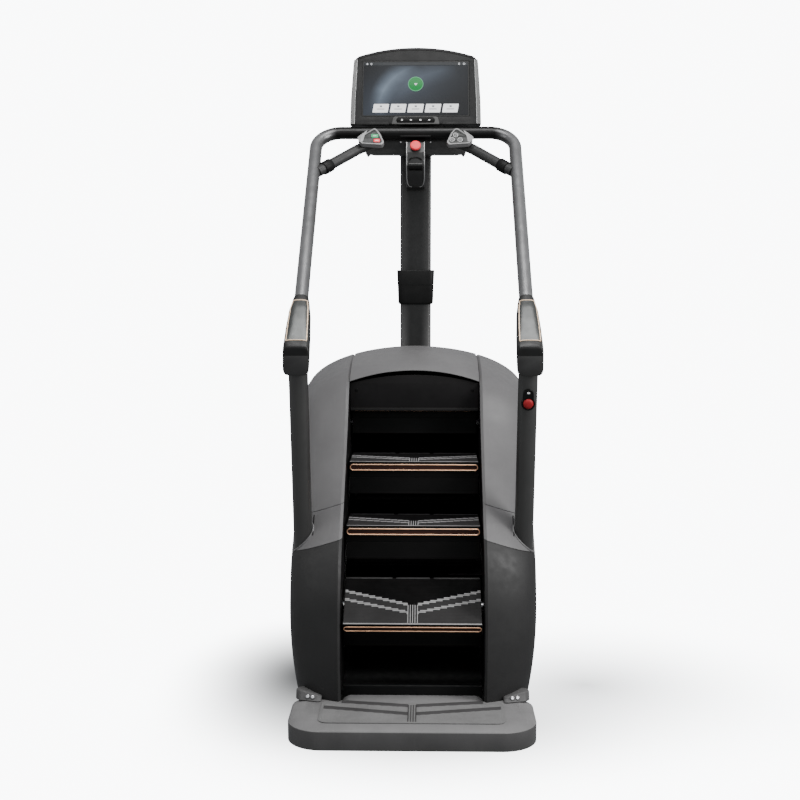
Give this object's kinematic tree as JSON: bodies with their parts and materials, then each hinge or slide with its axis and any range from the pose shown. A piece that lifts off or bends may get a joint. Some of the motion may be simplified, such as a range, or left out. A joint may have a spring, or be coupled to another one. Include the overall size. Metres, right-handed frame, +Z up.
{
  "type": "stair climber",
  "caption": "Revolving-stair climber: treads on a chain loop between moulded flanks, step-up platform, side rails with grips, and a tilted console on a mast.",
  "frame": {"origin": "on the floor, under the middle of the machine's bounding box", "axes": "+Z up, the user stands on the -Y side and faces +Y, +X is the user's right"},
  "size_m": [0.844, 1.41, 2.3366],
  "materials": {
    "frame_paint": "satin dark powder coat",
    "rail_paint": "satin grey metallic",
    "cover_dark": "fine moulded grain",
    "cover_panel": "satin moulded panel",
    "black_plastic": "matt black",
    "tread": "ribbed black tread with lighter front band",
    "grip_rubber": "soft moulded rubber",
    "mat_rubber": "ribbed grey rubber",
    "foot_rubber": "matt",
    "steel": "machined",
    "belt_rubber": "ribbed",
    "display_glass": "gloss cover glass over a display",
    "console_frame": "satin dark moulding",
    "pod_grey": "satin silver-grey",
    "key_red": "satin",
    "key_green": "satin",
    "key_grey": "satin"
  },
  "bodies": {
    "root": {"base_frame": "frame_paint", "left_side_plate": "frame_paint", "right_side_plate": "frame_paint", "mast": "frame_paint", "mast_collar": "black_plastic", "left_post": "frame_paint", "right_post": "frame_paint", "handrail": "rail_paint", "left_grip": "grip_rubber", "right_grip": "grip_rubber", "left_inner_bar": "grip_rubber", "right_inner_bar": "grip_rubber", "left_keypad_pod": "pod_grey", "right_keypad_pod": "pod_grey", "console_housing": "console_frame", "console_bezel": "console_frame", "console_glass": "display_glass", "console_tray": "black_plastic", "left_lower_shroud": "cover_dark", "right_lower_shroud": "cover_dark", "left_mid_panel": "cover_panel", "right_mid_panel": "cover_panel", "left_side_panel": "cover_panel", "right_side_panel": "cover_panel", "top_cowl": "cover_panel", "rear_cover": "cover_dark", "inner_apron": "cover_dark", "left_inner_skirt": "black_plastic", "right_inner_skirt": "black_plastic", "step_platform": "cover_dark", "platform_mat": "mat_rubber", "left_chain": "steel", "right_chain": "steel", "drive_belt": "belt_rubber", "alternator": "frame_paint", "power_inlet": "black_plastic"},
    "stair_drive": {"drive_shaft": "steel"},
    "lower_return_shaft": {"lower_shaft": "steel"},
    "brake_rotor": {"alternator_pulley": "steel"},
    "steps_down": {"step_1": "tread", "step_2": "tread", "step_3": "tread"},
    "step_lower_turn": {"step_4": "tread"},
    "steps_up": {"step_5": "tread", "step_6": "tread", "step_7": "tread"},
    "step_upper_turn": {"step_8": "tread"},
    "centre_stop_button": {"centre_stop_button": "key_red"},
    "post_stop_button": {"post_stop_button": "key_red"},
    "start_key": {"start_key": "key_green"},
    "stop_key": {"stop_key": "key_red"},
    "level_up_key": {"level_up_key": "key_grey"},
    "level_down_key": {"level_down_key": "key_grey"},
    "select_key": {"select_key": "key_grey"},
    "left_wheel": {"left_transport_wheel": "foot_rubber"},
    "right_wheel": {"right_transport_wheel": "foot_rubber"},
    "front_left_levelling_foot": {"front_left_levelling_foot": "foot_rubber"},
    "front_right_levelling_foot": {"front_right_levelling_foot": "foot_rubber"},
    "rear_left_levelling_foot": {"rear_left_levelling_foot": "foot_rubber"},
    "rear_right_levelling_foot": {"rear_right_levelling_foot": "foot_rubber"}
  },
  "joints": [
    {"name": "stair_turn", "type": "hinge", "parent": "root", "child": "stair_drive", "pos_m": [0, 0.3792, 0.9035], "axis": [1, 0, 0], "range_deg": [-32, 143]},
    {"name": "lower_shaft_turn", "type": "hinge", "parent": "root", "child": "lower_return_shaft", "pos_m": [0, -0.2208, 0.3335], "axis": [1, 0, 0], "range_deg": [-33, 144]},
    {"name": "brake_rotor_turn", "type": "hinge", "parent": "root", "child": "brake_rotor", "pos_m": [0.28, 0.45, 0.35], "axis": [1, 0, 0], "range_deg": [-172.5, 763.9]},
    {"name": "lower_turn_step", "type": "hinge", "parent": "root", "child": "step_lower_turn", "pos_m": [0, -0.2208, 0.3335], "axis": [1, 0, 0], "range_deg": [-33, 144]},
    {"name": "upper_turn_step", "type": "hinge", "parent": "root", "child": "step_upper_turn", "pos_m": [0, 0.3792, 0.9035], "axis": [1, 0, 0], "range_deg": [-33, 144]},
    {"name": "down_run", "type": "slide", "parent": "root", "child": "steps_down", "axis": [0, -0.725, -0.6887], "range_m": [-0.04984, 0.21996]},
    {"name": "return_run", "type": "slide", "parent": "root", "child": "steps_up", "axis": [0, 0.725, 0.6887], "range_m": [-0.04984, 0.21996]},
    {"name": "centre_stop_button_press", "type": "slide", "parent": "root", "child": "centre_stop_button", "axis": [0, 0.866, -0.5], "range_m": [0, 0.005], "stiffness_N_per_m": 900, "springref_m": -0.004},
    {"name": "post_stop_button_press", "type": "slide", "parent": "root", "child": "post_stop_button", "axis": [0, 0.9776, 0.2106], "range_m": [0, 0.005], "stiffness_N_per_m": 900, "springref_m": -0.004},
    {"name": "start_key_press", "type": "slide", "parent": "root", "child": "start_key", "axis": [0, 0.848, -0.5299], "range_m": [0, 0.001], "stiffness_N_per_m": 1200, "springref_m": -0.001},
    {"name": "stop_key_press", "type": "slide", "parent": "root", "child": "stop_key", "axis": [0, 0.848, -0.5299], "range_m": [0, 0.001], "stiffness_N_per_m": 1200, "springref_m": -0.001},
    {"name": "level_up_key_press", "type": "slide", "parent": "root", "child": "level_up_key", "axis": [0, 0.848, -0.5299], "range_m": [0, 0.001], "stiffness_N_per_m": 1200, "springref_m": -0.001},
    {"name": "level_down_key_press", "type": "slide", "parent": "root", "child": "level_down_key", "axis": [0, 0.848, -0.5299], "range_m": [0, 0.001], "stiffness_N_per_m": 1200, "springref_m": -0.001},
    {"name": "select_key_press", "type": "slide", "parent": "root", "child": "select_key", "axis": [0, 0.848, -0.5299], "range_m": [0, 0.001], "stiffness_N_per_m": 1200, "springref_m": -0.001},
    {"name": "front_left_levelling_foot_screw", "type": "slide", "parent": "root", "child": "front_left_levelling_foot", "axis": [0, 0, -1], "range_m": [0, 0.015]},
    {"name": "front_right_levelling_foot_screw", "type": "slide", "parent": "root", "child": "front_right_levelling_foot", "axis": [0, 0, -1], "range_m": [0, 0.015]},
    {"name": "rear_left_levelling_foot_screw", "type": "slide", "parent": "root", "child": "rear_left_levelling_foot", "axis": [0, 0, -1], "range_m": [0, 0.015]},
    {"name": "rear_right_levelling_foot_screw", "type": "slide", "parent": "root", "child": "rear_right_levelling_foot", "axis": [0, 0, -1], "range_m": [0, 0.015]},
    {"name": "left_wheel_spin", "type": "hinge", "parent": "root", "child": "left_wheel", "pos_m": [-0.251, 0.588, 0.0305], "axis": [1, 0, 0], "continuous": true},
    {"name": "right_wheel_spin", "type": "hinge", "parent": "root", "child": "right_wheel", "pos_m": [0.251, 0.588, 0.0305], "axis": [1, 0, 0], "continuous": true}
  ],
  "couplings": [
    {"joint": "lower_shaft_turn", "follows": "stair_turn", "ratio": 1},
    {"joint": "brake_rotor_turn", "follows": "stair_turn", "ratio": 5.3279},
    {"joint": "lower_turn_step", "follows": "stair_turn", "ratio": 1},
    {"joint": "upper_turn_step", "follows": "stair_turn", "ratio": 1},
    {"joint": "down_run", "follows": "stair_turn", "m_per_rad": 0.08781},
    {"joint": "return_run", "follows": "stair_turn", "m_per_rad": 0.08781}
  ]
}
